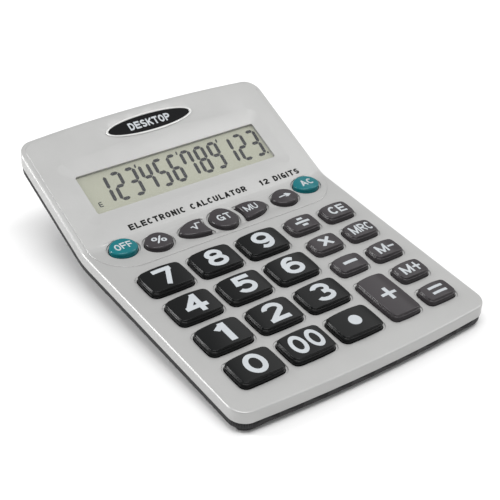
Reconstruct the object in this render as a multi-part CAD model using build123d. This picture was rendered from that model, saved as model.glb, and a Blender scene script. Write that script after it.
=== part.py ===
"""Desk calculator with a sloping keyboard deck and a steeper display deck.

Origin: middle of the footprint on the table. +X to the right, +Y to the back, +Z up. Millimetres.
Depths are measured square to a deck, downwards from its surface.
"""

import os
from math import cos, radians, sin, tan

from build123d import *

# ---------------------------------------------------------------- driving dimensions
body_width = 140.0
keyboard_length = 119.1
display_length = 68.2
keyboard_slope = 5.0
display_turn = 19.8
front_bow = 2.85
rear_bow = 2.9
corner_radius = 8.0
bend_radius = 18.0
front_deck_height = 11.4

deck_thickness = 2.0
wall_thickness = 2.0
cover_wall_height = 5.6
crest_radius = 0.9
band_height = 3.2
band_inset = 0.5
case_wall = 2.0
lip_thickness = 1.2
lip_height = 2.0
lip_clearance = 0.2

panel_rise = 0.35
panel_flange = 2.6
panel_rear_flange = 1.8
panel_front = 100.1
panel_corner_radius = 19.0

base_height = 1.2
keel_inset = 1.2
keel_rear_lean = 0.3
keyboard_keel_drop = 1.0
display_keel_drop = 1.4

key_rise = 3.2
key_crown = 0.75
key_edge_radius = 0.35
key_tier = 1.35
key_step = 0.5
key_ledge_radius = 0.25
key_bow = 0.35
key_clearance = 0.45
key_flange = 1.2
key_flange_thickness = 1.0
flange_gap = 0.1
well_ring = 0.9
well_depth = 0.5

keypad_x = 0.8
big_key = (22.7, 16.2, 3.0)
big_pitch = (26.85, 22.0)
first_row = 19.1
small_key = (16.4, 11.0, 2.6)
small_pitch = (21.55, 17.75)
small_first_row = 16.5
column_gap = 5.65

function_x = 1.4
function_row = 110.2
function_rise = 2.4
function_edge_radius = 0.8
function_clearance = 0.35
function_flange = 0.8
round_key = (7.0, 7.5)
oval_key = (7.0, 5.8)
oval_offset = 36.8
end_key_offset = (53.4, 4.0)
lobe_key = (12.9, 5.7)
lobe_offset = 12.1
lobe_gap = 4.2
lobe_tip_radius = 0.8

sheet_thickness = 0.7
dome_height = 1.4
dome_radius = 4.0
dome_top_radius = 2.6
board_thickness = 1.4
board_half_width = 59.5
board_front = 8.0
board_rear = 118.3

window_size = (104.2, 23.1)
window_centre = 29.9
window_radius = 1.2
window_sink = 0.5
pad_size = (118.4, 38.4)
pad_centre = 31.1
pad_radius = 5.0
lens_thickness = 0.9
lens_clearance = 0.1
glass_size = (112.0, 30.0)
glass_thickness = 2.0
glass_clearance = 0.2
frame_size = (120.0, 38.0)
frame_back = 1.2
frame_screw_offset = (57.8, 17.0)
ribbon_width = 60.0
ribbon_thickness = 0.15

badge_centre = 59.6
badge_rim = (25.1, 6.1)
badge_plate = (23.7, 4.9)
badge_recess = 0.7
badge_rim_rise = 0.45
badge_plate_rise = 0.1
badge_clearance = 0.05

screw_x = 63.0
front_screw = 7.5
middle_screw = 100.0
rear_screw = (44.0, 57.0)
screw_radius = 1.3
screw_hole_radius = 1.5
screw_head = (2.2, 1.5)
screw_head_pocket = 2.4
boss_radius = 3.2
boss_joint = 6.5
screw_seat = 8.4
screw_tip = 3.2

cell_radius = 7.1
cell_length = 49.2
cell_nub = (2.75, 1.1)
cell_lift = 0.4
cell_y = 145.0
contact_thickness = 0.4
contact_spring = 2.0
bay_wall = 1.4
bay_height = 11.0
bay_clearance = 0.6

door_half_width = 27.0
door_front = 137.0
door_overrun = 40.0
door_clearance = 0.2
grip_rear = 166.0
tongue = (1.2, 0.7)

lead_radius = 0.6
lead_board_place = 112.0
lead_rise = 3.4
lead_bend = 2.0

foot_radius = 4.0
front_foot = (52.0, 12.0)
rear_foot = (35.0, 152.0)

# ---------------------------------------------------------------- frame of the object
display_slope = keyboard_slope + display_turn
keyboard_along = (cos(radians(keyboard_slope)), sin(radians(keyboard_slope)))
display_along = (cos(radians(display_slope)), sin(radians(display_slope)))
half_turn = tan(radians(display_turn / 2))
corner_depth = keyboard_length * keyboard_along[0] + display_length * display_along[0]
front_y = (front_bow - corner_depth - rear_bow) / 2
rear_y = front_y + corner_depth
fold_y = front_y + keyboard_length * keyboard_along[0]
fold_z = front_deck_height + keyboard_length * keyboard_along[1]
slab_depth = cover_wall_height + band_height

keyboard = Plane(
    origin=(0, front_y, front_deck_height),
    x_dir=(1, 0, 0),
    z_dir=(0, -keyboard_along[1], keyboard_along[0]),
)
display = Plane(
    origin=(0, fold_y, fold_z),
    x_dir=(1, 0, 0),
    z_dir=(0, -display_along[1], display_along[0]),
)

flange_top = deck_thickness + flange_gap
key_bottom = flange_top + key_flange_thickness
sheet_top = key_bottom + dome_height
board_top = sheet_top + sheet_thickness
board_bottom = board_top + board_thickness
case_cavity_inset = wall_thickness + lip_clearance + lip_thickness
floor_depth = slab_depth - case_wall
floor_z = base_height + case_wall
glass_bottom = deck_thickness + glass_thickness
frame_bottom = glass_bottom + frame_back


def deck_line(depth, overrun=20.0):
    """Front end, fold corner and rear end, in Y and Z, of a line that runs at one depth."""
    k, d = keyboard_along, display_along
    front = (front_y - overrun * k[0] + depth * k[1], front_deck_height - overrun * k[1] - depth * k[0])
    shift = depth * half_turn
    corner = (fold_y + depth * k[1] + shift * k[0], fold_z - depth * k[0] + shift * k[1])
    reach = display_length + overrun
    rear = (fold_y + reach * d[0] + depth * d[1], fold_z + reach * d[1] - depth * d[0])
    return front, corner, rear


def plan_face(inset):
    """Outline seen from above, bowed at the front and rear, moved inwards by inset."""
    half = body_width / 2 - inset
    front, rear = front_y + inset, rear_y - inset
    edges = (
        ThreePointArc((-half, front), (0, front - front_bow), (half, front)),
        Line((half, front), (half, rear)),
        ThreePointArc((half, rear), (0, rear + rear_bow), (-half, rear)),
        Line((-half, rear), (-half, front)),
    )
    face = make_face(Curve() + list(edges))
    return fillet(face.vertices(), corner_radius - inset)


def plan_prism(inset):
    """Upright block on the plan outline."""
    return extrude(Pos(0, 0, -10) * plan_face(inset), amount=120)


def side_slab(top, bottom):
    """Bent slab between two depths, wider and longer than the object."""
    upper, lower = deck_line(top), deck_line(bottom)
    face = make_face(Polyline(*upper, *reversed(lower), close=True))
    for depth, line in ((top, upper), (bottom, lower)):
        corner = face.vertices().sort_by_distance((*line[1], 0))[0]
        face = fillet(corner, bend_radius + depth)
    return extrude(Plane.YZ * face, amount=body_width, both=True)


def layer(top, bottom, inset):
    """Bent slab between two depths, cut to the plan outline."""
    return side_slab(top, bottom) & plan_prism(inset)


def rim_edges(solid):
    """Edges round the outside of a bent slab's upper faces."""
    edges = [edge for face in solid.faces() if face.normal_at().Z > 0.5 for edge in face.edges()]
    return [edge for edge in edges if sum(edge.is_same(other) for other in edges) == 1]


# ---------------------------------------------------------------- key outlines
def rounded_key(size, grow=0.0):
    """Rounded rectangle with slightly bowed sides, for a key of width, length and corner radius."""
    x, y = size[0] / 2 + grow, size[1] / 2 + grow
    a, b = x - key_bow, y - key_bow
    corners = ((-a, -b), (a, -b), (a, b), (-a, b))
    middles = ((0, -y), (x, 0), (0, y), (-x, 0))
    sides = [ThreePointArc(corners[i], middles[i], corners[(i + 1) % 4]) for i in range(4)]
    face = make_face(Curve() + sides)
    return fillet(face.vertices(), size[2] + grow)


def oval(size, grow=0.0):
    """Ellipse with two half sizes."""
    return Ellipse(size[0] + grow, size[1] + grow)


def lobe(side, grow=0.0):
    """Ellipse whose inner end is cut by an arc round the round key. Side is -1 for left, 1 for right."""
    arc = oval((round_key[0] + lobe_gap - grow, round_key[1] + lobe_gap - grow))
    cut = oval(lobe_key, grow) - Pos(lobe_offset, 0) * arc
    tips = cut.vertices().sort_by(Axis.X)[-2:]
    left = fillet(tips, lobe_tip_radius + grow / 2)
    return Rot(0, 0, 180) * left if side > 0 else left


def key_table():
    """Name, place on the keyboard deck, outline maker and kind for each key."""
    reach = big_pitch[0] * 2 + column_gap + big_key[0] / 2 + small_key[0] / 2 + small_pitch[0]
    first = keypad_x - (reach + big_key[0] / 2 + small_key[0] / 2) / 2 + big_key[0] / 2
    columns = [first + big_pitch[0] * i for i in range(3)]
    inner = columns[2] + big_key[0] / 2 + column_gap + small_key[0] / 2
    outer = inner + small_pitch[0]
    rows = [first_row + big_pitch[1] * j for j in range(4)]
    small_rows = [small_first_row + small_pitch[1] * j for j in range(5)]
    table = []
    numbers = (("0", "00", "point"), ("1", "2", "3"), ("4", "5", "6"), ("7", "8", "9"))
    for row, names in zip(rows, numbers):
        for column, name in zip(columns, names):
            table.append((f"key_{name}", column, row, lambda g=0.0: rounded_key(big_key, g), "deck"))
    for row, name in zip(small_rows[2:], ("minus", "multiply", "divide")):
        table.append((f"key_{name}", inner, row, lambda g=0.0: rounded_key(small_key, g), "deck"))
    for row, name in zip(small_rows, ("equals", "m_plus", "m_minus", "mrc", "ce")):
        table.append((f"key_{name}", outer, row, lambda g=0.0: rounded_key(small_key, g), "deck"))
    tall = (small_key[0], small_key[1] + small_pitch[1], small_key[2])
    middle = (small_rows[0] + small_rows[1]) / 2
    table.append(("key_plus", inner, middle, lambda g=0.0: rounded_key(tall, g), "deck"))
    table.append(("key_gt", function_x, function_row, lambda g=0.0: oval(round_key, g), "function"))
    sides = ((-1, "percent", "root", "off"), (1, "arrow", "mu", "ac"))
    for side, near, inside, end in sides:
        x = function_x + side * oval_offset
        table.append((f"key_{near}", x, function_row, lambda g=0.0: oval(oval_key, g), "function"))
        x = function_x + side * lobe_offset
        table.append((f"key_{inside}", x, function_row, lambda g=0.0, s=side: lobe(s, g), "function"))
        x, y = function_x + side * end_key_offset[0], function_row + end_key_offset[1]
        table.append((f"key_{end}", x, y, lambda g=0.0: oval(oval_key, g), "function"))
    return table


def crown_tool(box, rise):
    """Long cylinder laid along the deck whose top touches the middle of the key's top."""
    radius = (box.size.X / 2) ** 2 / (2 * key_crown) + key_crown / 2
    barrel = Rot(90, 0, 0) * Cylinder(radius, 4 * box.size.Y)
    return Pos(box.center().X, 0, rise - radius) * barrel


def rounded_top(solid, radius):
    """Solid with the edges of its highest face rounded."""
    return fillet(solid.faces().sort_by(Axis.Z)[-1].edges(), radius)


def make_key(outline, kind):
    """Key cap with its skirt and the flange that holds it under the deck."""
    function = kind == "function"
    rise = function_rise if function else key_rise
    reach = function_flange if function else key_flange
    skirt = extrude(Pos(0, 0, -flange_top) * outline(), amount=flange_top + rise + key_crown)
    crown = crown_tool(skirt.bounding_box(), rise)
    if function:
        cap = rounded_top(skirt & crown, function_edge_radius)
    else:
        ledge = rise - key_tier
        tier = extrude(outline(-key_step), amount=rise + key_crown) & crown
        skirt = extrude(Pos(0, 0, -flange_top) * outline(), amount=flange_top + ledge)
        cap = rounded_top(skirt, key_ledge_radius) + rounded_top(tier, key_edge_radius)
    return cap + extrude(Pos(0, 0, -key_bottom) * outline(reach), amount=key_flange_thickness)


def well_tool(outline, kind):
    """Key opening and the rounded ring sunk round it."""
    clear = function_clearance if kind == "function" else key_clearance
    opening = extrude(Pos(0, 0, -2 * deck_thickness) * outline(clear), amount=4 * deck_thickness)
    ring = extrude(Pos(0, 0, -well_depth) * outline(clear + well_ring), amount=3 * deck_thickness)
    floor = ring.faces().sort_by(Axis.Z)[0]
    return opening + fillet(floor.edges(), well_depth * 0.8)


# ---------------------------------------------------------------- fasteners and places
def screw_places():
    """Planes at the deck surface over each case screw."""
    places = [keyboard * Pos(s * screw_x, y, 0) for y in (front_screw, middle_screw) for s in (-1, 1)]
    return places + [display * Pos(s * rear_screw[0], rear_screw[1], 0) for s in (-1, 1)]


def frame_screw_places():
    """Places at the display deck surface over each screw of the glass frame."""
    x, y = frame_screw_offset
    return [display * Pos(s * x, window_centre + t * y, 0) for s in (-1, 1) for t in (-1, 1)]


def upright(radius, top, bottom):
    """Round bar square to a deck between two depths."""
    return Pos(0, 0, -(top + bottom) / 2) * Cylinder(radius, bottom - top)


def make_screw(head, radius, seat, tip):
    """Screw with its head under the seat and its shank up to the tip."""
    return upright(head[0], seat, seat + head[1]) + upright(radius, tip, seat)


# ---------------------------------------------------------------- top cover
def panel_face():
    """Plan outline of the raised panel that carries the window and the function keys."""
    half = body_width / 2 - panel_flange
    front = front_y + panel_front * keyboard_along[0]
    rear = rear_y - panel_rear_flange
    edges = (
        Line((-half, front), (half, front)),
        Line((half, front), (half, rear)),
        ThreePointArc((half, rear), (0, rear + rear_bow), (-half, rear)),
        Line((-half, rear), (-half, front)),
    )
    face = make_face(Curve() + list(edges))
    face = fillet(face.vertices().sort_by(Axis.Y)[:2], panel_corner_radius)
    return fillet(face.vertices().sort_by(Axis.Y)[-2:], corner_radius - panel_rear_flange)


def make_panel():
    """Raised panel with a rounded edge."""
    block = extrude(Pos(0, 0, -10) * panel_face(), amount=120)
    panel = side_slab(-panel_rise, deck_thickness / 2) & block
    return fillet(rim_edges(panel), panel_rise * 0.8)


def pad_tool():
    """Soft sloping recess from the panel down to the window."""
    high = display * Pos(0, pad_centre, panel_rise) * RectangleRounded(*pad_size, pad_radius)
    border = (window_size[0] + 1.6, window_size[1] + 1.6)
    low = display * Pos(0, window_centre, -window_sink) * RectangleRounded(*border, window_radius + 0.8)
    return loft([high.face(), low.face()])


def ellipse_bar(size, top, bottom):
    """Elliptical bar square to the display deck, between two heights over it."""
    return extrude(display * Pos(0, badge_centre, bottom) * Ellipse(*size), amount=top - bottom)


def make_cover():
    """Top cover: both decks, the raised panel, the key wells, the window and the screw bosses."""
    shell = layer(0, cover_wall_height, 0)
    shell = fillet(rim_edges(shell), crest_radius) + make_panel()
    shell -= layer(deck_thickness, cover_wall_height + 5, wall_thickness)
    for place in screw_places():
        shell += place * upright(boss_radius, deck_thickness * 0.75, boss_joint)
        shell -= place * upright(screw_radius, screw_tip - flange_gap, boss_joint + 1)
    for place in frame_screw_places():
        shell -= place * upright(1.0, 1.0, deck_thickness + 1)
    for _, x, y, outline, kind in key_table():
        shell -= keyboard * Pos(x, y, 0) * well_tool(outline, kind)
    shell -= pad_tool()
    window = RectangleRounded(*window_size, window_radius)
    shell -= extrude(display * Pos(0, window_centre, -5) * window, amount=10)
    clear = tuple(size + badge_clearance for size in badge_rim)
    shell -= ellipse_bar(clear, panel_rise + 2, panel_rise - badge_recess)
    return shell


# ---------------------------------------------------------------- display
def make_lens():
    """Clear window that fills the opening in the cover."""
    width, height = (size - 2 * lens_clearance for size in window_size)
    face = RectangleRounded(width, height, window_radius - lens_clearance)
    return extrude(display * Pos(0, window_centre, -deck_thickness) * face, amount=lens_thickness)


def make_glass():
    """Display glass under the lens."""
    face = display * Pos(0, window_centre, -glass_bottom) * Rectangle(*glass_size)
    return extrude(face, amount=glass_thickness)


def make_frame():
    """Frame that clamps the glass against the cover, open at the back and for the ribbon."""
    centre = display * Pos(0, window_centre, -frame_bottom)
    frame = extrude(centre * RectangleRounded(*frame_size, 2.0), amount=frame_bottom - deck_thickness)
    pocket = tuple(size + 2 * glass_clearance for size in glass_size)
    frame -= extrude(centre * Pos(0, 0, frame_back) * Rectangle(*pocket), amount=10)
    frame -= extrude(centre * Rectangle(glass_size[0] - 16, glass_size[1] - 12), amount=10)
    slot = (ribbon_width + 2, frame_size[1] / 2)
    frame -= extrude(centre * Pos(0, -slot[1] / 2 - glass_size[1] / 4) * Rectangle(*slot), amount=10)
    for place in frame_screw_places():
        frame -= place * upright(1.1, 0, 20)
    return frame


def deck_point(plane, along, depth):
    """Y and Z of a point on a deck's middle line, at a depth."""
    point = plane.from_local_coords((0, along, -depth))
    return point.Y, point.Z


def make_ribbon():
    """Flat ribbon from the glass's front ledge down to the board's rear edge."""
    ledge = window_centre - glass_size[1] / 2
    t = ribbon_thickness
    line = [
        deck_point(display, ledge + 3, glass_bottom),
        deck_point(display, ledge - 1.5, glass_bottom),
        deck_point(keyboard, board_rear - 0.3, board_top - t),
        deck_point(keyboard, board_rear - 3, board_top - t),
        deck_point(keyboard, board_rear - 3, board_top),
        deck_point(keyboard, board_rear, board_top),
        deck_point(display, ledge - 1.2, glass_bottom + t),
        deck_point(display, ledge + 3, glass_bottom + t),
    ]
    face = make_face(Polyline(*line, close=True))
    return extrude(Plane.YZ * face, amount=ribbon_width / 2, both=True)


def make_badge_rim():
    """Bright ring round the badge."""
    ring = ellipse_bar(badge_rim, panel_rise + badge_rim_rise, panel_rise - badge_recess)
    ring -= ellipse_bar(badge_plate, panel_rise + 2, -2)
    top = ring.faces().sort_by(Axis(display.origin, display.z_dir))[-1]
    return fillet(top.edges(), badge_rim_rise * 0.8)


def make_badge_plate():
    """Dark oval plate inside the ring."""
    size = tuple(half - badge_clearance for half in badge_plate)
    return ellipse_bar(size, panel_rise + badge_plate_rise, panel_rise - badge_recess)


# ---------------------------------------------------------------- board and keypad
def deck_plate(half_width, front, rear, top, bottom):
    """Flat plate under the keyboard deck."""
    centre = keyboard * Pos(0, (front + rear) / 2, -bottom)
    return extrude(centre * RectangleRounded(2 * half_width, rear - front, 2.0), amount=bottom - top)


def make_sheet():
    """Rubber sheet with a hollow dome under each key."""
    rear = board_rear - 3.6
    sheet = deck_plate(board_half_width, board_front, rear, sheet_top, board_top)
    for side in (-1, 1):
        x, y = function_x + side * end_key_offset[0], function_row + end_key_offset[1]
        tab = Rectangle(2 * dome_radius, 2 * dome_radius)
        sheet += extrude(keyboard * Pos(x, y, -board_top) * tab, amount=sheet_thickness)
    for _, x, y, _, _ in key_table():
        place = keyboard * Pos(x, y, -(key_bottom + sheet_top) / 2)
        sheet += place * Cone(dome_radius, dome_top_radius, dome_height)
    for _, x, y, _, _ in key_table():
        sheet -= keyboard * Pos(x, y, 0) * upright(dome_top_radius * 0.7, key_bottom + 0.7, board_top + 1)
    return sheet


def make_board():
    """Circuit board under the keypad sheet."""
    return deck_plate(board_half_width, board_front, board_rear, board_top, board_bottom)


def board_block(x, y, size):
    """Block fixed to the board's underside."""
    width, length, height = size
    return keyboard * Pos(x, y, -board_bottom - height / 2) * Box(width, length, height)


def make_chip():
    """Low round potting over the controller, on the board's underside."""
    drop = keyboard * Pos(0, 62, 0) * upright(7.0, board_bottom, board_bottom + 1.4)
    lowest = drop.faces().sort_by(Axis.Z)[0]
    return fillet(lowest.edges(), 1.0)


def make_components():
    """Capacitors, resistors and the crystal on the board's underside."""
    parts = [board_block(x, 92, (3.2, 1.6, 0.8)) for x in (-30, -24, -18, -12)]
    parts += [board_block(x, 98, (2.0, 1.25, 0.6)) for x in (10, 15, 20, 25)]
    parts += [keyboard * Pos(x, 104, 0) * upright(2.0, board_bottom, board_bottom + 3.2) for x in (-6, 6)]
    return parts


# ---------------------------------------------------------------- bottom case
def keel(inset, top):
    """Lower hull: flat base, sides that lean in from the band, moved inwards by inset."""
    line = deck_line(top, overrun=0.0)
    low = base_height + inset
    face = make_face(Polyline(*line, (line[2][0], low), (line[0][0], low), close=True))
    hull = extrude(Plane.YZ * face, amount=body_width, both=True)
    edge = body_width / 2 - keel_inset
    start, corner, end = deck_line(slab_depth, overrun=0.0)
    cuts = [
        ((0, start[0] - front_bow + keel_inset, start[1]), (0, -1, -1)),
        ((0, end[0] - keel_inset, end[1]), (0, 1, -keel_rear_lean)),
    ]
    for side in (-1, 1):
        for point, along, drop in (
            (start, keyboard_along, keyboard_keel_drop),
            (corner, display_along, display_keel_drop),
        ):
            cuts.append(((side * edge, *point), (side * drop * along[0], along[1], -along[0])))
    for point, normal in cuts:
        out = Vector(*normal).normalized()
        hull = split(hull, Plane(origin=Vector(*point) - out * inset, z_dir=out), keep=Keep.BOTTOM)
    return hull & plan_prism(keel_inset if inset == 0 else case_cavity_inset)


def bay_limits():
    """Low and high X of the space between the battery contacts' outer faces."""
    half = (cell_length + cell_nub[1]) / 2
    return -half - contact_spring, half + contact_thickness


def make_battery_bay():
    """Walls that hold the cell and its contacts."""
    low, high = bay_limits()
    depth = 2 * (cell_radius + bay_clearance)
    centre = Pos((low + high) / 2, front_y + cell_y, floor_z + bay_height / 2)
    outer = centre * Box(high - low + 2 * bay_wall, depth + 2 * bay_wall, bay_height)
    return outer - centre * Box(high - low, depth, bay_height + 1)


def door_box(clear, low, high, reach=0.0):
    """Block of the battery door, or of its opening, between two heights, past the rear wall."""
    half = door_half_width + reach + clear
    front, rear = front_y + door_front - clear, rear_y + door_overrun
    return Pos(0, (front + rear) / 2, (low + high) / 2) * Box(2 * half, rear - front, high - low)


def door_tongue(clear):
    """Tongue of the door, or its groove, along both sides."""
    middle = base_height + case_wall / 2
    half = tongue[1] / 2 + clear / 2
    return door_box(clear, middle - half, middle + half, tongue[0])


def post_places():
    """Places of the posts under the board."""
    return [(x, y) for x in (-40.0, 40.0) for y in (30.0, 74.0, 108.0)]


def make_case():
    """Bottom case: band, hull, lip, screw bosses, board posts and battery bay."""
    lip_inset = wall_thickness + lip_clearance
    hull = keel(0, slab_depth - 1)
    case = layer(cover_wall_height, slab_depth, band_inset) + hull
    case += layer(cover_wall_height - lip_height, cover_wall_height + 1, lip_inset)
    case -= layer(deck_thickness, floor_depth, case_cavity_inset)
    case -= keel(case_wall, floor_depth - 1)
    solid = hull + layer(cover_wall_height, slab_depth, band_inset)
    for place in screw_places():
        stub = place * upright(boss_radius, boss_joint, slab_depth)
        case += (place * upright(boss_radius, boss_joint, 60)) & (solid + stub)
        case -= place * upright(screw_hole_radius, 0, screw_seat + 1)
        case -= place * upright(screw_head_pocket, screw_seat, 60)
    for x, y in post_places():
        case += (keyboard * Pos(x, y, 0) * upright(2.5, board_bottom, 60)) & keel(0, 0)
    case += make_battery_bay()
    case -= door_box(door_clearance, 0, floor_z + door_clearance)
    case -= door_tongue(door_clearance)
    return case


def make_door():
    """Battery door with a tongue along each side, flush with the rear wall, slides out to the rear."""
    door = (door_box(0, base_height, floor_z) + door_tongue(0)) & keel(0, floor_depth)
    grips = [Pos(0, front_y + grip_rear - 4 - 2 * i, base_height) * Box(16, 0.8, 0.8) for i in range(5)]
    return door - grips


def make_cell():
    """Battery cell lying across the object, with its nub to the right."""
    half = (cell_length + cell_nub[1]) / 2
    height = floor_z + cell_lift + cell_radius
    barrel = Pos(-half + cell_length / 2, 0, 0) * (Rot(0, 90, 0) * Cylinder(cell_radius, cell_length))
    nub = Pos(half - cell_nub[1] / 2, 0, 0) * (Rot(0, 90, 0) * Cylinder(cell_nub[0], cell_nub[1]))
    return Pos(0, front_y + cell_y, height) * (barrel + nub)


def make_plate_contact():
    """Flat contact behind the cell's nub."""
    _, high = bay_limits()
    place = Pos(high - contact_thickness / 2, front_y + cell_y, floor_z + bay_height / 2)
    return place * Box(contact_thickness, 11.0, bay_height - 1)


def make_spring_contact():
    """Contact plate with a sprung tongue that bears on the cell's flat end."""
    low, _ = bay_limits()
    t, middle = contact_thickness, floor_z + bay_height / 2
    place = Pos(low + t / 2, front_y + cell_y, middle)
    plate = place * Box(t, 11.0, bay_height - 1)
    tip = low + contact_spring
    points = ((low + t, middle + 4), (tip, middle + 1), (tip, middle - 1), (low + t, middle - 4))
    inner = [(x - t if x == tip else x, middle + (z - middle) * 0.8) for x, z in reversed(points)]
    face = Plane.XZ * make_face(Polyline(*points, *inner, close=True))
    return plate + Pos(0, front_y + cell_y, 0) * extrude(face, amount=2.5, both=True)


def make_leads():
    """Two insulated leads from the tops of the contacts to the board's underside."""
    low, high = bay_limits()
    top = floor_z + bay_height - 0.5
    leads = []
    for x in (low + lead_radius + 0.05, high - lead_radius - 0.05):
        end = keyboard.from_local_coords((x, lead_board_place, -board_bottom))
        below = keyboard.from_local_coords((x, lead_board_place, -board_bottom - lead_rise))
        start = Vector(x, front_y + cell_y, top)
        route = [start, start + Vector(0, 0, lead_rise), start + Vector(0, -13, 0.4), below, end]
        path = FilletPolyline(*route, radius=lead_bend)
        section = Plane(origin=start, z_dir=(0, 0, 1)) * Circle(lead_radius)
        leads.append(sweep(section, path=path))
    return leads


def make_feet():
    """Four round rubber feet."""
    spots = [(s * x, front_y + y) for x, y in (front_foot, rear_foot) for s in (-1, 1)]
    return [Pos(x, y, base_height / 2) * Cylinder(foot_radius, base_height) for x, y in spots]


# ---------------------------------------------------------------- write the nodes
def write(name, shape):
    """Write one node as a STEP file."""
    if isinstance(shape, list):
        shape = Compound(children=[part if isinstance(part, Solid) else part.solid() for part in shape])
    export_step(shape, f"parts/{name}.step")
    print(name, len(shape.solids()), round(shape.volume, 1))


def main():
    """Build and write every node."""
    os.makedirs("parts", exist_ok=True)
    write("top_cover", make_cover())
    write("bottom_case", make_case())
    write("display_lens", make_lens())
    write("display_glass", make_glass())
    write("display_frame", make_frame())
    write("display_ribbon", make_ribbon())
    write("badge_rim", make_badge_rim())
    write("badge_plate", make_badge_plate())
    write("keypad_sheet", make_sheet())
    write("main_board", make_board())
    write("controller_chip", make_chip())
    write("board_components", make_components())
    write("battery_door", make_door())
    write("battery_cell", make_cell())
    write("plate_contact", make_plate_contact())
    write("spring_contact", make_spring_contact())
    write("battery_leads", make_leads())
    write("rubber_feet", make_feet())
    case_screw = make_screw(screw_head, screw_radius, screw_seat, screw_tip)
    write("case_screws", [place * case_screw for place in screw_places()])
    frame_screw = make_screw((1.8, 1.0), 1.0, frame_bottom, 1.0)
    write("frame_screws", [place * frame_screw for place in frame_screw_places()])
    for name, x, y, outline, kind in key_table():
        write(name, keyboard * Pos(x, y, 0) * make_key(outline, kind))


main()
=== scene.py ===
"""Looks of a desk calculator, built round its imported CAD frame.

Lengths are metres. A deck has its own coordinates: x to the right, y along the deck to the back and
z square to it, with the deck's surface at zero.
"""

from __future__ import annotations

import logging
import math
from dataclasses import dataclass, field
from enum import Enum

import bmesh
import bpy
from mathutils import Matrix, Vector

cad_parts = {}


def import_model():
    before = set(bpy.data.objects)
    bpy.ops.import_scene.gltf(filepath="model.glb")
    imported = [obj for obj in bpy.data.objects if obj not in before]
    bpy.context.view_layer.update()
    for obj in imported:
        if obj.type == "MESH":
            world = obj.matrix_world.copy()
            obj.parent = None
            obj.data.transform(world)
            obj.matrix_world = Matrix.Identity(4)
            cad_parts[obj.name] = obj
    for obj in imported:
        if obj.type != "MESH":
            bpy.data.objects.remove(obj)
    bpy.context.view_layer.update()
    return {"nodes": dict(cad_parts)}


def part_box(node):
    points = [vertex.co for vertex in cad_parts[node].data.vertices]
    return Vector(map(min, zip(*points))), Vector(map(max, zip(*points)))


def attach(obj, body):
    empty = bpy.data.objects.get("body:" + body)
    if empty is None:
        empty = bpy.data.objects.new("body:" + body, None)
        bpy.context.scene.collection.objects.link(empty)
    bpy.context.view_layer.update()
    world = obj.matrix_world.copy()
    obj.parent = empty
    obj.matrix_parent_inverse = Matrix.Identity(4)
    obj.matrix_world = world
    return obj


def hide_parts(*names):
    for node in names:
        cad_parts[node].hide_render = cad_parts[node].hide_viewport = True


logging.basicConfig(level=logging.INFO, format="%(message)s")
log = logging.getLogger("calculator")

MM = 0.001
MERGE_DISTANCE = 0.002 * MM
CAP_SHARP_ANGLE = 32.0
SHELL_SHARP_ANGLE = 28.0
PRINT_THICKNESS = 0.05 * MM
MOTTLE_SCALE = 0.012
MOTTLE_STOPS = (0.3, 0.7)
LEAST_ROUGHNESS = 0.02
BUMP_STRENGTH = 0.6
Colour = tuple[float, float, float]


class Deck(Enum):
    """The two flat decks of the top cover."""

    KEYBOARD = "keyboard"
    DISPLAY = "display"


@dataclass
class DeckFrame:
    """Places of the two decks, from the same driving sizes as the cover."""

    keyboard_slope: float = 5.0
    display_turn: float = 19.8
    keyboard_length: float = 119.1 * MM
    front_height: float = 11.4 * MM
    front_bow: float = 2.85 * MM
    cover: str = "top_cover"

    def matrix(self, deck: Deck) -> Matrix:
        """Return the matrix that takes a deck's own coordinates to the object's.

        Args:
            deck: Which deck.

        Returns:
            A rigid 4 x 4 matrix.
        """
        slope = math.radians(self.keyboard_slope)
        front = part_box(self.cover)[0].y + self.front_bow
        if deck is Deck.KEYBOARD:
            place = Matrix.Translation((0, front, self.front_height))
            return place @ Matrix.Rotation(slope, 4, "X")
        run, rise = self.keyboard_length * math.cos(slope), self.keyboard_length * math.sin(slope)
        turn = slope + math.radians(self.display_turn)
        place = Matrix.Translation((0, front + run, self.front_height + rise))
        return place @ Matrix.Rotation(turn, 4, "X")

    def local_box(self, node: str, deck: Deck) -> tuple[Vector, Vector]:
        """Return a node's lowest and highest corners in a deck's coordinates.

        Args:
            node: Name of a CAD node.
            deck: Whose coordinates to use.

        Returns:
            The low corner and the high corner.
        """
        back = self.matrix(deck).inverted()
        points = [back @ v.co for v in bpy.data.objects[node].data.vertices]
        low = Vector(min(p[i] for p in points) for i in range(3))
        high = Vector(max(p[i] for p in points) for i in range(3))
        return low, high


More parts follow.
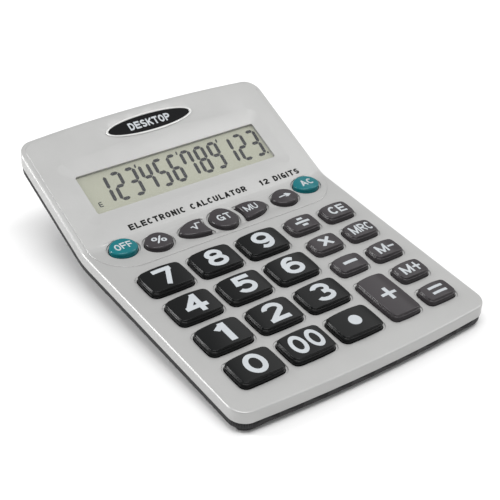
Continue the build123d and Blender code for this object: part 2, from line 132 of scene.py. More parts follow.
# ---------------------------------------------------------------- finishes
@dataclass(frozen=True)
class Finish:
    """A moulded, printed or plated finish with grain in its colour, gloss and surface.

    Attributes:
        name: Material name.
        colour: Linear base colour.
        roughness: Middle roughness.
        metallic: Metallic share.
        grain: Size of the surface grain.
        relief: Depth of the grain's bump.
        mottle: How far the colour varies either way.
        gloss_spread: How far the roughness varies either way.
        alpha: Opacity.
        specular: Specular level.
    """

    name: str
    colour: Colour
    roughness: float = 0.4
    metallic: float = 0.0
    grain: float = 0.25 * MM
    relief: float = 0.004 * MM
    mottle: float = 0.03
    gloss_spread: float = 0.04
    alpha: float = 1.0
    specular: float = 0.5

    def build(self) -> bpy.types.Material:
        """Make the material, or return it if it is already made."""
        made = bpy.data.materials.get(self.name)
        if made:
            return made
        material = bpy.data.materials.new(self.name)
        material.use_nodes = True
        tree = material.node_tree
        shader = tree.nodes["Principled BSDF"]
        shader.inputs["Metallic"].default_value = self.metallic
        shader.inputs["Specular IOR Level"].default_value = self.specular
        shader.inputs["Alpha"].default_value = self.alpha
        self.add_colour(tree, shader)
        self.add_relief(tree, shader)
        return material

    def add_colour(self, tree: bpy.types.NodeTree, shader: bpy.types.Node) -> None:
        """Link the mottled colour and the varied roughness.

        Args:
            tree: The material's node tree.
            shader: Its shader.
        """
        place = tree.nodes.new("ShaderNodeTexCoord")
        noise = tree.nodes.new("ShaderNodeTexNoise")
        noise.inputs["Scale"].default_value = MOTTLE_SCALE / self.grain
        noise.inputs["Detail"].default_value = 4.0
        tree.links.new(place.outputs["Object"], noise.inputs["Vector"])
        ramp = tree.nodes.new("ShaderNodeValToRGB")
        for stop, sign, at in zip(ramp.color_ramp.elements, (-1, 1), MOTTLE_STOPS):
            stop.position = at
            stop.color = (*[min(1.0, c * (1 + sign * self.mottle)) for c in self.colour], 1.0)
        tree.links.new(noise.outputs["Fac"], ramp.inputs["Fac"])
        tree.links.new(ramp.outputs["Color"], shader.inputs["Base Color"])
        spread = tree.nodes.new("ShaderNodeMapRange")
        lowest = max(LEAST_ROUGHNESS, self.roughness - self.gloss_spread)
        spread.inputs["To Min"].default_value = lowest
        spread.inputs["To Max"].default_value = self.roughness + self.gloss_spread
        tree.links.new(noise.outputs["Fac"], spread.inputs["Value"])
        tree.links.new(spread.outputs["Result"], shader.inputs["Roughness"])

    def add_relief(self, tree: bpy.types.NodeTree, shader: bpy.types.Node) -> None:
        """Link the fine grain to the surface.

        Args:
            tree: The material's node tree.
            shader: Its shader.
        """
        place = tree.nodes.new("ShaderNodeTexCoord")
        noise = tree.nodes.new("ShaderNodeTexNoise")
        noise.inputs["Scale"].default_value = 1.0 / self.grain
        noise.inputs["Detail"].default_value = 2.0
        tree.links.new(place.outputs["Object"], noise.inputs["Vector"])
        bump = tree.nodes.new("ShaderNodeBump")
        bump.inputs["Strength"].default_value = BUMP_STRENGTH
        bump.inputs["Distance"].default_value = self.relief
        tree.links.new(noise.outputs["Fac"], bump.inputs["Height"])
        tree.links.new(bump.outputs["Normal"], shader.inputs["Normal"])


SILVER = Finish(
    "satin_silver_moulding", (0.41, 0.41, 0.405), roughness=0.36,
    metallic=0.35, grain=0.18 * MM, relief=0.0035 * MM, mottle=0.02,
)
BLACK = Finish(
    "spark_textured_black", (0.016, 0.016, 0.017), roughness=0.5,
    grain=0.3 * MM, relief=0.02 * MM, mottle=0.1, specular=0.2,
)
BIG_KEY = Finish(
    "black_key_plastic", (0.002, 0.0025, 0.0027), roughness=0.16,
    grain=0.2 * MM, relief=0.001 * MM, mottle=0.08, gloss_spread=0.03, specular=0.26,
)
SMALL_KEY = Finish(
    "grey_key_plastic", (0.032, 0.028, 0.031), roughness=0.18,
    grain=0.2 * MM, relief=0.001 * MM, mottle=0.06, gloss_spread=0.03, specular=0.4,
)
TEAL_KEY = Finish(
    "teal_key_plastic", (0.0, 0.125, 0.145), roughness=0.16,
    grain=0.2 * MM, relief=0.001 * MM, mottle=0.04, gloss_spread=0.03, specular=0.4,
)
LEGEND = Finish(
    "pale_legend_ink", (0.43, 0.455, 0.475), roughness=0.5,
    grain=0.15 * MM, relief=0.002 * MM, mottle=0.04,
)
DARK_INK = Finish(
    "black_printed_ink", (0.004, 0.004, 0.004), roughness=0.5,
    grain=0.15 * MM, relief=0.001 * MM, mottle=0.05, specular=0.15,
)
WINDOW = Finish(
    "clear_window", (0.3, 0.31, 0.3), roughness=0.05,
    grain=2.0 * MM, relief=0.0002 * MM, mottle=0.01, gloss_spread=0.01, alpha=0.06,
)
DISPLAY = Finish(
    "grey_green_display", (0.37, 0.375, 0.30), roughness=0.55,
    grain=0.5 * MM, relief=0.001 * MM, mottle=0.03,
)
SEGMENT = Finish(
    "dark_display_segment", (0.03, 0.03, 0.035), roughness=0.6,
    grain=0.3 * MM, relief=0.001 * MM, mottle=0.05, specular=0.2,
)
BRIGHT = Finish(
    "bright_plated_rim", (0.62, 0.62, 0.61), roughness=0.3,
    metallic=0.5, grain=0.4 * MM, relief=0.0005 * MM, mottle=0.01, gloss_spread=0.02,
)
BADGE = Finish(
    "gloss_black_badge", (0.004, 0.004, 0.0045), roughness=0.25,
    grain=0.3 * MM, relief=0.001 * MM, mottle=0.05, gloss_spread=0.03, specular=0.1,
)
RUBBER = Finish(
    "soft_black_rubber", (0.02, 0.02, 0.02), roughness=0.75,
    grain=0.3 * MM, relief=0.02 * MM, mottle=0.1,
)
SILICONE = Finish(
    "grey_silicone", (0.35, 0.36, 0.36), roughness=0.6,
    grain=0.4 * MM, relief=0.01 * MM, mottle=0.04,
)
SOLDER_MASK = Finish(
    "green_solder_mask", (0.02, 0.11, 0.035), roughness=0.3,
    grain=0.5 * MM, relief=0.004 * MM, mottle=0.1,
)
POTTING = Finish(
    "black_potting", (0.012, 0.012, 0.012), roughness=0.3,
    grain=0.6 * MM, relief=0.01 * MM, mottle=0.1,
)
AMBER_FILM = Finish(
    "amber_ribbon_film", (0.42, 0.2, 0.03), roughness=0.25,
    grain=0.5 * MM, relief=0.002 * MM, mottle=0.06,
)
STEEL = Finish(
    "zinc_plated_steel", (0.62, 0.62, 0.6), roughness=0.32,
    metallic=1.0, grain=0.2 * MM, relief=0.004 * MM, mottle=0.05,
)
NICKEL = Finish(
    "nickel_spring_strip", (0.66, 0.63, 0.58), roughness=0.25,
    metallic=1.0, grain=0.3 * MM, relief=0.002 * MM, mottle=0.03,
)
CELL_CAN = Finish(
    "printed_cell_can", (0.03, 0.06, 0.16), roughness=0.3,
    metallic=0.3, grain=0.4 * MM, relief=0.002 * MM, mottle=0.08,
)
LEAD = Finish(
    "red_lead_sleeve", (0.35, 0.02, 0.02), roughness=0.4,
    grain=0.3 * MM, relief=0.004 * MM, mottle=0.06,
)
PALE_FLOOR = Finish(
    "pale_floor", (0.86, 0.86, 0.86), roughness=0.8,
    grain=2.0 * MM, relief=0.01 * MM, mottle=0.004,
)


# ---------------------------------------------------------------- mesh helpers
def to_object(mesh: bmesh.types.BMesh, name: str, finish: Finish) -> bpy.types.Object:
    """Turn a bmesh into a linked object with one finish.

    Args:
        mesh: The shape, freed here.
        name: Name of the piece.
        finish: Its finish.

    Returns:
        The new object, at the origin.
    """
    data = bpy.data.meshes.new(name)
    mesh.to_mesh(data)
    mesh.free()
    data.materials.append(finish.build())
    piece = bpy.data.objects.new(name, data)
    bpy.context.scene.collection.objects.link(piece)
    return piece


def smooth(piece: bpy.types.Object, angle: float) -> None:
    """Shade a piece smooth, but for edges sharper than an angle in degrees."""
    mesh = piece.data
    mesh.polygons.foreach_set("use_smooth", [True] * len(mesh.polygons))
    mesh.set_sharp_from_angle(angle=math.radians(angle))


def merged_copy(
    node: str, name: str, finish: Finish, angle: float = CAP_SHARP_ANGLE
) -> bpy.types.Object:
    """Make a merged, smooth-shaded copy of a CAD node that stands for it.

    Args:
        node: Name of the CAD node.
        name: Name of the new piece.
        finish: Its finish.
        angle: Edges sharper than this, in degrees, stay sharp.

    Returns:
        The new piece, with weighted normals.
    """
    mesh = bmesh.new()
    mesh.from_mesh(bpy.data.objects[node].data)
    bmesh.ops.remove_doubles(mesh, verts=mesh.verts, dist=MERGE_DISTANCE)
    piece = to_object(mesh, name, finish)
    smooth(piece, angle)
    weigh = piece.modifiers.new("weighted_normals", "WEIGHTED_NORMAL")
    weigh.keep_sharp = True
    weigh.weight = 100
    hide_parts(node)
    return piece


def fit_box(mesh: bmesh.types.BMesh, width: float, height: float) -> None:
    """Centre a flat mesh on the origin and stretch it to a width and height."""
    xs = [v.co.x for v in mesh.verts]
    ys = [v.co.y for v in mesh.verts]
    middle = Vector(((min(xs) + max(xs)) / 2, (min(ys) + max(ys)) / 2, 0))
    bmesh.ops.translate(mesh, verts=mesh.verts, vec=-middle)
    scale = Vector((width / (max(xs) - min(xs)), height / (max(ys) - min(ys)), 1))
    bmesh.ops.scale(mesh, verts=mesh.verts, vec=scale)


def slice_across(mesh: bmesh.types.BMesh, step: float) -> None:
    """Cut a flat mesh at even X intervals, so that it can bend over a crown."""
    reach = max(abs(v.co.x) for v in mesh.verts)
    for i in range(-int(reach / step), int(reach / step) + 1):
        everything = [*mesh.verts, *mesh.edges, *mesh.faces]
        bmesh.ops.bisect_plane(mesh, geom=everything, plane_co=(i * step, 0, 0), plane_no=(1, 0, 0))


def thicken(mesh: bmesh.types.BMesh, thickness: float) -> None:
    """Give flat faces a closed thickness downwards."""
    bmesh.ops.recalc_face_normals(mesh, faces=mesh.faces)
    if sum(f.normal.z * f.calc_area() for f in mesh.faces) < 0:
        bmesh.ops.reverse_faces(mesh, faces=mesh.faces)
    top = list(mesh.faces)
    made = bmesh.ops.extrude_face_region(mesh, geom=top, use_keep_orig=True)
    low = [v for v in made["geom"] if isinstance(v, bmesh.types.BMVert)]
    bmesh.ops.translate(mesh, verts=low, vec=(0, 0, -thickness))
    bmesh.ops.recalc_face_normals(mesh, faces=mesh.faces)


def bar(mesh: bmesh.types.BMesh, length: float, width: float, place: Matrix) -> None:
    """Add a flat bar with pointed ends, as a display segment is."""
    made = bmesh.ops.create_circle(mesh, cap_ends=True, segments=6, radius=width / 2)
    verts = made["verts"]
    half = length / 2
    corners = [(half, 0), (half - width / 2, width / 2), (-half + width / 2, width / 2)]
    corners += [(-x, -y) for x, y in corners]
    for vert, corner in zip(verts, corners):
        vert.co = place @ Vector((*corner, 0))


# ---------------------------------------------------------------- drawn lettering
@dataclass(frozen=True)
class Bar:
    """Straight stroke between two points of a character's unit box."""

    start: tuple[float, float]
    end: tuple[float, float]
    overrun: float = 0.0


@dataclass(frozen=True)
class Arc:
    """Curved stroke: part of an ellipse in a character's unit box, from angle to angle."""

    centre: tuple[float, float]
    radii: tuple[float, float]
    start: float = 0.0
    end: float = 360.0


RING = Arc((0.5, 0.5), (0.5, 0.5))
STEM = Bar((0, 0), (0, 1))
BOWL = (
    STEM,
    Bar((0, 1), (0.5, 1)),
    Bar((0, 0.46), (0.5, 0.46)),
    Arc((0.5, 0.73), (0.5, 0.27), -90, 90),
)
SIX = (
    Arc((0.5, 0.31), (0.5, 0.31)),
    Arc((0.54, 0.5), (0.54, 0.5), 55, 180),
    Bar((0, 0.52), (0, 0.3)),
)
NINE = (
    Arc((0.5, 0.69), (0.5, 0.31)),
    Arc((0.46, 0.5), (0.54, 0.5), 235, 360),
    Bar((1, 0.48), (1, 0.7)),
)
CHARACTERS: dict[str, tuple[Bar | Arc, ...]] = {
    "0": (RING,),
    "1": (Bar((0.72, 0), (0.72, 1)), Bar((0.72, 0.98), (0.08, 0.74))),
    "2": (
        Arc((0.5, 0.72), (0.5, 0.28), -38, 175),
        Bar((0.9, 0.56), (0.02, 0.03), 0.03),
        Bar((0, 0), (1, 0)),
    ),
    "3": (Arc((0.48, 0.75), (0.46, 0.25), -90, 165), Arc((0.48, 0.27), (0.52, 0.27), -165, 90)),
    "4": (Bar((0.72, 0), (0.72, 1)), Bar((0, 0.28), (1, 0.28)), Bar((0.72, 1), (0, 0.28), 0.04)),
    "5": (
        Bar((0.16, 1), (0.94, 1)),
        Bar((0.16, 1), (0.07, 0.48)),
        Arc((0.48, 0.32), (0.52, 0.32), -160, 140),
    ),
    "6": SIX,
    "7": (Bar((0, 1), (1, 1)), Bar((0.98, 0.98), (0.34, 0), 0.06)),
    "8": (Arc((0.5, 0.76), (0.42, 0.24)), Arc((0.5, 0.27), (0.5, 0.27))),
    "9": NINE,
    "A": (Bar((0, 0), (0.5, 1), 0.1), Bar((0.5, 1), (1, 0), 0.1), Bar((0.16, 0.27), (0.84, 0.27))),
    "C": (Arc((0.5, 0.5), (0.5, 0.5), 42, 318),),
    "D": (STEM, Bar((0, 1), (0.4, 1)), Bar((0, 0), (0.4, 0)), Arc((0.4, 0.5), (0.6, 0.5), -90, 90)),
    "E": (STEM, Bar((0, 1), (1, 1)), Bar((0, 0.52), (0.92, 0.52)), Bar((0, 0), (1, 0))),
    "F": (STEM, Bar((0, 1), (1, 1)), Bar((0, 0.5), (0.88, 0.5))),
    "G": (
        Arc((0.5, 0.5), (0.5, 0.5), 42, 330),
        Bar((0.56, 0.45), (1, 0.45)),
        Bar((1, 0), (1, 0.45)),
    ),
    "I": (Bar((0.5, 0), (0.5, 1)),),
    "K": (STEM, Bar((0, 0.34), (1, 1), 0.1), Bar((0.34, 0.6), (1, 0), 0.1)),
    "L": (STEM, Bar((0, 0), (1, 0))),
    "M": (STEM, Bar((0, 1), (0.5, 0), 0.1), Bar((0.5, 0), (1, 1), 0.1), Bar((1, 0), (1, 1))),
    "N": (STEM, Bar((0, 1), (1, 0), 0.1), Bar((1, 0), (1, 1))),
    "O": (RING,),
    "P": BOWL,
    "R": (*BOWL, Bar((0.45, 0.46), (1, 0), 0.08)),
    "S": (Arc((0.5, 0.75), (0.48, 0.25), 25, 270), Arc((0.5, 0.25), (0.5, 0.25), -155, 90)),
    "T": (Bar((0, 1), (1, 1)), Bar((0.5, 0), (0.5, 1))),
    "U": (Bar((0, 0.4), (0, 1)), Arc((0.5, 0.4), (0.5, 0.4), 180, 360), Bar((1, 0.4), (1, 1))),
    "+": (Bar((0, 0.5), (1, 0.5)), Bar((0.5, 0), (0.5, 1))),
    "-": (Bar((0, 0.5), (1, 0.5)),),
    "=": (Bar((0, 1), (1, 1)), Bar((0, 0), (1, 0))),
    "x": (Bar((0, 0), (1, 1), 0.1), Bar((0, 1), (1, 0), 0.1)),
    "/": (Bar((0, 0.5), (1, 0.5)), Bar((0.42, 1), (0.58, 1)), Bar((0.42, 0), (0.58, 0))),
    "%": (
        Arc((0.17, 0.76), (0.17, 0.24)),
        Arc((0.83, 0.24), (0.17, 0.24)),
        Bar((0.26, 0), (0.74, 1), 0.1),
    ),
    "v": (
        Bar((0, 0.5), (0.2, 0.56)),
        Bar((0.2, 0.6), (0.4, 0), 0.04),
        Bar((0.4, 0), (0.62, 1)),
        Bar((0.6, 1), (1, 1)),
    ),
    ">": (
        Bar((0, 0.5), (0.98, 0.5)),
        Bar((0.62, 1), (1, 0.5), 0.05),
        Bar((0.62, 0), (1, 0.5), 0.05),
    ),
}
NARROW_WIDTHS = {"I": 0.0, "1": 0.36, "M": 0.84, " ": 0.24, "-": 0.5, "+": 0.62, "%": 1.0, "v": 1.1}


@dataclass(frozen=True)
class Lettering:
    """A word drawn in strokes of one width.

    Attributes:
        words: The characters.
        stroke: Stroke width, where the height is one.
        width: Width of an ordinary character over its stroke.
        spacing: Gap between two characters.
        arc_steps: Steps round a full ellipse.
        least_steps: Fewest steps along an arc.
    """

    words: str
    stroke: float = 0.2
    width: float = 0.62
    spacing: float = 0.13
    arc_steps: int = 40
    least_steps: int = 4

    def strip(self, mesh: bmesh.types.BMesh, mark: Bar | Arc, span: float, left: float) -> None:
        """Add one stroke as a strip bent from a grid.

        Args:
            mesh: Where the stroke goes.
            mark: The stroke.
            span: Width of the character between its outer strokes' middles.
            left: Where the character starts.
        """
        half, tall = self.stroke / 2, 1 - self.stroke
        steps = 1
        if isinstance(mark, Arc):
            share = abs(mark.end - mark.start) / 360
            steps = max(self.least_steps, round(self.arc_steps * share))
        made = bmesh.ops.create_grid(mesh, x_segments=steps, y_segments=1, size=0.5)
        for vert in made["verts"]:
            along, side = vert.co.x + 0.5, 2 * half * vert.co.y
            if isinstance(mark, Bar):
                start = Vector((mark.start[0] * span, mark.start[1] * tall))
                reach = Vector((mark.end[0] * span, mark.end[1] * tall)) - start
                unit = reach.normalized()
                straight = abs(unit.x) < 0.01 or abs(unit.y) < 0.01
                extra = half if straight else mark.overrun
                spot = start + unit * (along * (reach.length + 2 * extra) - extra)
                spot += Vector((-unit.y, unit.x)) * side
            else:
                turn = math.radians(mark.start + along * (mark.end - mark.start))
                radii = (mark.radii[0] * span - side, mark.radii[1] * tall - side)
                spot = Vector((mark.centre[0] * span, mark.centre[1] * tall))
                spot += Vector((radii[0] * math.cos(turn), radii[1] * math.sin(turn)))
            vert.co = (left + half + spot.x, half + spot.y, 0)

    def draw(self) -> bmesh.types.BMesh:
        """Return the word as flat faces that don't overlap, facing up."""
        mesh = bmesh.new()
        left = 0.0
        for letter in self.words:
            span = NARROW_WIDTHS.get(letter, self.width)
            for mark in CHARACTERS.get(letter, ()):
                self.strip(mesh, mark, span, left)
            left += span + self.stroke + self.spacing
        bmesh.ops.remove_doubles(mesh, verts=mesh.verts, dist=1e-5)
        for height, outward in ((0.0, -1), (1.0, 1)):
            bmesh.ops.bisect_plane(
                mesh,
                geom=[*mesh.verts, *mesh.edges, *mesh.faces],
                plane_co=(0, height, 0),
                plane_no=(0, outward, 0),
                clear_outer=True,
            )
        thicken(mesh, 0.1)
        return self.united(mesh, left)

    def united(self, mesh: bmesh.types.BMesh, reach: float) -> bmesh.types.BMesh:
        """Unite overlapping strokes and keep only their upper faces.

        Args:
            mesh: Closed strokes, freed here.
            reach: Length of the word.

        Returns:
            The flat upper faces.
        """
        block = bmesh.new()
        bmesh.ops.create_cube(block, size=4 * reach + 4)
        strokes, keep = (working_object(shape) for shape in (mesh, block))
        join = strokes.modifiers.new("join", "BOOLEAN")
        join.operation, join.solver, join.use_self, join.object = "INTERSECT", "EXACT", True, keep
        bpy.context.view_layer.update()
        graph = bpy.context.evaluated_depsgraph_get()
        data = bpy.data.meshes.new_from_object(strokes.evaluated_get(graph))
        flat = bmesh.new()
        flat.from_mesh(data)
        for holder in (strokes, keep):
            bpy.data.objects.remove(holder)
        bpy.data.meshes.remove(data)
        low = [face for face in flat.faces if face.normal.z < 0.9]
        bmesh.ops.delete(flat, geom=low, context="FACES")
        return flat


def working_object(mesh: bmesh.types.BMesh) -> bpy.types.Object:
    """Return a linked object for a shape that is only used on the way, and free the shape."""
    data = bpy.data.meshes.new("working")
    mesh.to_mesh(data)
    mesh.free()
    holder = bpy.data.objects.new("working", data)
    bpy.context.scene.collection.objects.link(holder)
    return holder


# ---------------------------------------------------------------- key caps
class KeyKind(Enum):
    """Which family a key belongs to."""

    NUMBER = "number"
    ACTION = "action"
    FUNCTION = "function"
    TEAL = "teal"


KEY_FINISH = {
    KeyKind.NUMBER: BIG_KEY,
    KeyKind.ACTION: SMALL_KEY,
    KeyKind.FUNCTION: SMALL_KEY,
    KeyKind.TEAL: TEAL_KEY,
}


@dataclass(frozen=True)
class Legend:
    """What is printed on a key and how large.

    Attributes:
        key: Name of the key's node, after the prefix.
        words: The lettering, empty where the mark is drawn.
        size: Width and height in millimetres.
        kind: The key's family.
        stroke: Stroke width, where the height is one.
        shift: Move of the mark from the key's middle, in millimetres.
    """

    key: str
    words: str
    size: tuple[float, float]
    kind: KeyKind
    stroke: float = 0.2
    shift: tuple[float, float] = (0.0, 0.0)


NUMBER_SIZE = (10.2, 11.8)
LEGENDS = (
    *[Legend(n, n, NUMBER_SIZE, KeyKind.NUMBER) for n in "0235689"],
    Legend("1", "1", (6.4, 11.8), KeyKind.NUMBER),
    Legend("4", "4", (11.0, 11.8), KeyKind.NUMBER),
    Legend("7", "7", (9.6, 11.8), KeyKind.NUMBER),
    Legend("00", "00", (16.2, 11.4), KeyKind.NUMBER),
    Legend("point", "", (6.2, 6.2), KeyKind.NUMBER),
    Legend("plus", "+", (8.2, 8.2), KeyKind.ACTION, 0.2),
    Legend("minus", "-", (7.8, 1.8), KeyKind.ACTION, 0.2),
    Legend("multiply", "x", (7.0, 6.0), KeyKind.ACTION, 0.24),
    Legend("divide", "/", (8.0, 6.4), KeyKind.ACTION, 0.22),
    Legend("equals", "=", (8.2, 5.0), KeyKind.ACTION, 0.3),
    Legend("m_plus", "M+", (11.0, 5.8), KeyKind.ACTION, 0.19),
    Legend("m_minus", "M-", (10.4, 5.8), KeyKind.ACTION, 0.19),
    Legend("mrc", "MRC", (12.0, 5.8), KeyKind.ACTION, 0.18),
    Legend("ce", "CE", (9.4, 5.8), KeyKind.ACTION, 0.19),
    Legend("gt", "GT", (7.6, 4.6), KeyKind.FUNCTION, 0.17),
    Legend("percent", "%", (7.0, 4.8), KeyKind.FUNCTION, 0.15),
    Legend("root", "v", (6.4, 4.8), KeyKind.FUNCTION, 0.14, (1.6, 0.2)),
    Legend("mu", "MU", (7.4, 4.4), KeyKind.FUNCTION, 0.17, (-1.6, 0.2)),
    Legend("arrow", ">", (7.0, 3.0), KeyKind.FUNCTION, 0.24),
    Legend("off", "OFF", (9.0, 4.4), KeyKind.TEAL, 0.18),
    Legend("ac", "AC", (7.0, 4.4), KeyKind.TEAL, 0.18),
)


@dataclass
class KeyCaps:
    """Every key cap with its printed mark."""

    decks: DeckFrame
    crown: float = 0.75 * MM
    flange: float = 1.2 * MM
    function_flange: float = 0.8 * MM
    ink: float = 0.03 * MM
    slice_step: float = 0.8 * MM
    legends: tuple[Legend, ...] = LEGENDS
    pieces: list[bpy.types.Object] = field(default_factory=list)

    def build(self) -> None:
        """Make every cap and mark."""
        for legend in self.legends:
            self.build_cap(legend)
            self.build_mark(legend)
        log.info("key caps and marks: %d pieces", len(self.pieces))

    def build_cap(self, legend: Legend) -> None:
        """Make the smooth cap of one key."""
        cap = merged_copy(f"key_{legend.key}", f"cap_{legend.key}", KEY_FINISH[legend.kind])
        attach(cap, f"key_cap_{legend.key}")
        self.pieces.append(cap)

    def mark_mesh(self, legend: Legend) -> bmesh.types.BMesh:
        """Return the flat mark of one key, centred, in metres."""
        if legend.key == "point":
            mesh = bmesh.new()
            bmesh.ops.create_circle(mesh, cap_ends=True, segments=48, radius=1.0)
        else:
            mesh = Lettering(legend.words, legend.stroke).draw()
        fit_box(mesh, legend.size[0] * MM, legend.size[1] * MM)
        return mesh

    def build_mark(self, legend: Legend) -> None:
        """Lay one key's mark over its crowned top."""
        node = f"key_{legend.key}"
        low, high = self.decks.local_box(node, Deck.KEYBOARD)
        small = legend.kind in (KeyKind.FUNCTION, KeyKind.TEAL)
        flange = self.function_flange if small else self.flange
        half = (high.x - low.x) / 2 - flange
        radius = half * half / (2 * self.crown) + self.crown / 2
        mesh = self.mark_mesh(legend)
        slice_across(mesh, self.slice_step)
        shift = Vector((*legend.shift, 0)) * MM
        for vert in mesh.verts:
            x = vert.co.x + shift.x
            vert.co.z = math.sqrt(radius * radius - x * x) - radius + self.ink
        thicken(mesh, 1.5 * self.ink)
        middle = Vector(((low.x + high.x) / 2, (low.y + high.y) / 2, high.z)) + shift
        place = self.decks.matrix(Deck.KEYBOARD) @ Matrix.Translation(middle)
        bmesh.ops.transform(mesh, matrix=place, verts=mesh.verts)
        mark = to_object(mesh, f"mark_{legend.key}", LEGEND)
        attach(mark, f"key_cap_{legend.key}")
        self.pieces.append(mark)


# ---------------------------------------------------------------- housing
@dataclass
class Housing:
    """Cover and bottom case."""

    body: str = "housing"

    def build(self) -> None:
        """Make the outer shells from their frame shapes."""
        cover = merged_copy("top_cover", "silver_cover", SILVER, SHELL_SHARP_ANGLE)
        case = merged_copy("bottom_case", "black_case", BLACK, SHELL_SHARP_ANGLE)
        for piece in (cover, case):
            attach(piece, self.body)
            log.info("%s: %d faces", piece.name, len(piece.data.polygons))


# ---------------------------------------------------------------- display
SEGMENTS = {
    "1": "bc",
    "2": "abged",
    "3": "abgcd",
    "4": "fgbc",
    "5": "afgcd",
    "6": "afgedc",
    "7": "fabc",
    "8": "abcdefg",
    "9": "abfgcd",
}


@dataclass
class DigitShape:
    """Sizes of one display digit, in metres."""

    width: float = 4.5 * MM
    height: float = 15.2 * MM
    stroke: float = 1.85 * MM
    gap: float = 0.3 * MM
    slant: float = 0.09

    def place(self, segment: str) -> tuple[float, Matrix]:
        """Return a segment's length and its place in the digit."""
        w, h = self.width / 2, self.height / 2
        upright = Matrix.Rotation(math.pi / 2, 4, "Z")
        spots = {
            "a": (0, h, None),
            "g": (0, 0, None),
            "d": (0, -h, None),
            "b": (w, h / 2, upright),
            "c": (w, -h / 2, upright),
            "f": (-w, h / 2, upright),
            "e": (-w, -h / 2, upright),
        }
        x, y, turn = spots[segment]
        length = (self.width if turn is None else h) - self.gap
        return length, Matrix.Translation((x, y, 0)) @ (turn or Matrix.Identity(4))


@dataclass
class Display:
    """Window, glass, segments, and the printed line below the window."""

    decks: DeckFrame
    body: str = "housing"
    number: str = "123'456'789'123."
    pitch: float = 8.06 * MM
    last_digit: tuple[float, float] = (4.3 * MM, 0.6 * MM)
    shape: DigitShape = field(default_factory=DigitShape)
    segment_lift: float = 0.04 * MM
    window_gap: float = 0.15 * MM
    line_size: tuple[float, float] = (100.6 * MM, 3.3 * MM)
    line_place: tuple[float, float] = (7.6 * MM, 5.9 * MM)
    line_lettering: Lettering = Lettering(
        "ELECTRONIC CALCULATOR   12 DIGITS", stroke=0.25, width=0.46, spacing=0.17
    )
    panel_rise: float = 0.35 * MM
    line_lift: float = 0.02 * MM
    comma: tuple[float, float] = (2.4 * MM, 0.9 * MM)
    comma_lift: float = 0.5 * MM
    comma_lean: float = math.pi / 2.2
    point: tuple[float, float] = (1.5 * MM, 1.3 * MM)
    sign_place: tuple[float, float] = (4.0 * MM, 5.4 * MM)
    sign_stem: float = 2.8 * MM
    sign_arm: float = 1.7 * MM
    sign_stroke: float = 0.5 * MM
    sign_arm_shift: float = 0.9 * MM
    sign_arm_pitch: float = 1.2 * MM

    def build(self) -> None:
        """Make the display's pieces in order."""
        self.build_window()
        self.build_segments()
        self.build_line()
        log.info("display ready")

    def build_window(self) -> None:
        """Make the window, a hair thinner than its place, and the glass under it."""
        window = merged_copy("display_lens", "clear_window", WINDOW)
        glass = merged_copy("display_glass", "display_glass_plate", DISPLAY)
        low, high = self.decks.local_box("display_lens", Deck.DISPLAY)
        place = self.decks.matrix(Deck.DISPLAY)
        for vert in window.data.vertices:
            spot = place.inverted() @ vert.co
            if spot.z < (low.z + high.z) / 2:
                spot.z += self.window_gap
                vert.co = place @ spot
        for piece in (window, glass):
            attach(piece, self.body)

    def build_segments(self) -> None:
        """Make every lit segment as one piece on the glass."""
        low, high = self.decks.local_box("display_lens", Deck.DISPLAY)
        mesh = bmesh.new()
        shear = Matrix.Identity(4)
        shear[0][1] = self.shape.slant
        pitches = sum(mark in SEGMENTS for mark in self.number) - 1
        x = high.x - self.last_digit[0] - self.pitch * pitches
        middle = (low.y + high.y) / 2 + self.last_digit[1]
        top = self.shape.height / 2
        for mark in self.number:
            here = Matrix.Translation((x, middle, low.z + self.segment_lift)) @ shear
            if mark == "'":
                spot = here @ Matrix.Translation((-self.pitch / 2, top + self.comma_lift, 0))
                bar(mesh, *self.comma, spot @ Matrix.Rotation(self.comma_lean, 4, "Z"))
                continue
            if mark == ".":
                across = self.shape.width / 2 + self.point[0] - self.pitch
                bar(mesh, *self.point, here @ Matrix.Translation((across, -top, 0)))
                continue
            for segment in SEGMENTS[mark]:
                length, place = self.shape.place(segment)
                bar(mesh, length, self.shape.stroke, here @ place)
            x += self.pitch
        self.add_error_sign(mesh, Vector((low.x, low.y, low.z + self.segment_lift)))
        thicken(mesh, self.segment_lift / 2)
        bmesh.ops.transform(mesh, matrix=self.decks.matrix(Deck.DISPLAY), verts=mesh.verts)
        digits = to_object(mesh, "display_digits", SEGMENT)
        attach(digits, self.body)

    def add_error_sign(self, mesh: bmesh.types.BMesh, corner: Vector) -> None:
        """Add the small letter at the window's lower left, from the window's low corner."""
        place = Matrix.Translation(corner + Vector((*self.sign_place, 0)))
        upright = place @ Matrix.Rotation(math.pi / 2, 4, "Z")
        bar(mesh, self.sign_stem, self.sign_stroke, upright)
        for step in (-1, 0, 1):
            shift = Matrix.Translation((self.sign_arm_shift, step * self.sign_arm_pitch, 0))
            bar(mesh, self.sign_arm, self.sign_stroke, place @ shift)

    def build_line(self) -> None:
        """Print the line of plain words below the window."""
        mesh = self.line_lettering.draw()
        fit_box(mesh, *self.line_size)
        thicken(mesh, PRINT_THICKNESS)
        rise = self.panel_rise + self.line_lift
        deck = self.decks.matrix(Deck.DISPLAY)
        place = deck @ Matrix.Translation((*self.line_place, rise))
        bmesh.ops.transform(mesh, matrix=place, verts=mesh.verts)
        line = to_object(mesh, "printed_line", DARK_INK)
        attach(line, self.body)


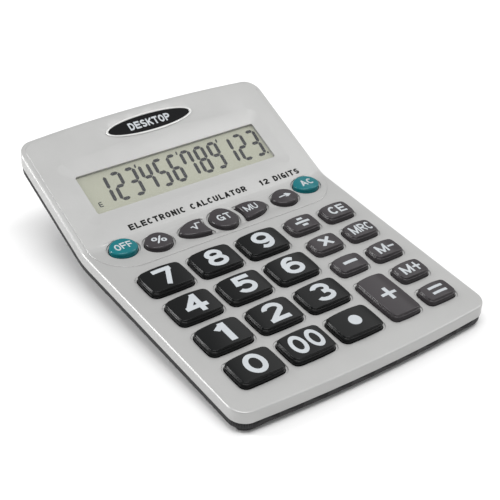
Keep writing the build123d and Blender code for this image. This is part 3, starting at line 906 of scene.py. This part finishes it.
@dataclass
class Badge:
    """Oval badge with its bright rim and a plain word."""

    decks: DeckFrame
    body: str = "housing"
    lettering: Lettering = Lettering("DESKTOP", stroke=0.22)
    size: tuple[float, float] = (24.0 * MM, 4.6 * MM)
    lift: float = 0.03 * MM

    def build(self) -> None:
        """Make the rim, the plate and the word."""
        rim = merged_copy("badge_rim", "bright_badge_rim", BRIGHT)
        plate = merged_copy("badge_plate", "black_badge_plate", BADGE)
        low, high = self.decks.local_box("badge_plate", Deck.DISPLAY)
        mesh = self.lettering.draw()
        fit_box(mesh, *self.size)
        thicken(mesh, PRINT_THICKNESS)
        middle = ((low.x + high.x) / 2, (low.y + high.y) / 2, high.z + self.lift)
        place = self.decks.matrix(Deck.DISPLAY) @ Matrix.Translation(middle)
        bmesh.ops.transform(mesh, matrix=place, verts=mesh.verts)
        word = to_object(mesh, "badge_word", LEGEND)
        for piece in (rim, plate, word):
            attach(piece, self.body)
        log.info("badge ready")


# ---------------------------------------------------------------- inside and underneath
INNER_FINISHES = {
    "display_frame": POTTING,
    "display_ribbon": AMBER_FILM,
    "keypad_sheet": SILICONE,
    "main_board": SOLDER_MASK,
    "controller_chip": POTTING,
    "board_components": POTTING,
    "battery_cell": CELL_CAN,
    "plate_contact": NICKEL,
    "spring_contact": NICKEL,
    "battery_leads": LEAD,
    "rubber_feet": RUBBER,
    "case_screws": STEEL,
    "frame_screws": STEEL,
    "battery_door": BLACK,
}


def dress_inner_nodes(frame: dict) -> None:
    """Give each remaining node its finish."""
    for name, finish in INNER_FINISHES.items():
        mesh = frame["nodes"][name].data
        mesh.materials.clear()
        mesh.materials.append(finish.build())
        log.info("dressed %s", name)


# ---------------------------------------------------------------- studio
@dataclass
class Studio:
    """Camera, floor, lights and surround."""

    azimuth: float = -38.1
    elevation: float = 32.9
    roll: float = 2.55
    distance: float = 0.552
    lens: float = 85.9
    target: tuple[float, float, float] = (-0.0015, -0.0055, 0.0188)
    sensor: float = 36.0
    nearest: float = 0.01
    floor_reach: float = 6.0
    surround: float = 0.5

    def build(self) -> None:
        """Make the studio."""
        self.build_camera()
        self.build_floor()
        self.build_lights()

    def build_camera(self) -> None:
        """Place the camera by its angles round the target."""
        a, e, r = (math.radians(v) for v in (self.azimuth, self.elevation, self.roll))
        back = Vector((math.sin(a) * math.cos(e), -math.cos(a) * math.cos(e), math.sin(e)))
        level = Vector((math.cos(a), math.sin(a), 0))
        up = back.cross(level)
        right = level * math.cos(r) + up * math.sin(r)
        turned = back.cross(right)
        camera = bpy.data.cameras.new("camera")
        camera.lens = self.lens
        camera.sensor_width = self.sensor
        camera.clip_start = self.nearest
        holder = bpy.data.objects.new("camera", camera)
        matrix = Matrix((right, turned, back)).transposed().to_4x4()
        matrix.translation = Vector(self.target) + back * self.distance
        holder.matrix_world = matrix
        bpy.context.scene.collection.objects.link(holder)
        bpy.context.scene.camera = holder

    def build_floor(self) -> None:
        """Make a wide pale floor."""
        mesh = bmesh.new()
        bmesh.ops.create_grid(mesh, x_segments=1, y_segments=1, size=self.floor_reach)
        floor = to_object(mesh, "floor", PALE_FLOOR)

    def add_light(self, name: str, place: Vector, power: float, size: tuple[float, float]) -> None:
        """Add a rectangular soft light aimed at the object."""
        light = bpy.data.lights.new(name, "AREA")
        light.shape = "RECTANGLE"
        light.size, light.size_y = size
        light.energy = power
        holder = bpy.data.objects.new(name, light)
        holder.location = place
        holder.rotation_euler = (-place).to_track_quat("-Z", "Y").to_euler()
        bpy.context.scene.collection.objects.link(holder)

    def build_lights(self) -> None:
        """Set the soft boxes and the pale surround."""
        self.add_light("top_box", Vector((-0.15, -0.25, 1.2)), 9.0, (0.9, 0.6))
        self.add_light("left_strip", Vector((-0.7, 0.5, 0.35)), 6.0, (0.15, 0.9))
        self.add_light("right_box", Vector((0.9, -0.2, 0.8)), 3.5, (0.3, 0.9))
        self.add_light("high_box", Vector((0.7, 0.3, 1.0)), 1.2, (0.8, 0.8))
        self.add_light("front_strip", Vector((0.2, -0.9, 0.4)), 0.5, (0.9, 0.12))
        world = bpy.data.worlds.new("surround")
        world.use_nodes = True
        sky = world.node_tree.nodes["Background"]
        sky.inputs["Color"].default_value = (1, 1, 1, 1)
        sky.inputs["Strength"].default_value = self.surround
        bpy.context.scene.world = world
        bpy.context.scene.view_settings.view_transform = "Standard"


def main() -> None:
    """Build the calculator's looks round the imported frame."""
    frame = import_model()
    decks = DeckFrame()
    Studio().build()
    Housing().build()
    KeyCaps(decks).build()
    Display(decks).build()
    Badge(decks).build()
    dress_inner_nodes(frame)


if __name__ == "__main__":
    main()
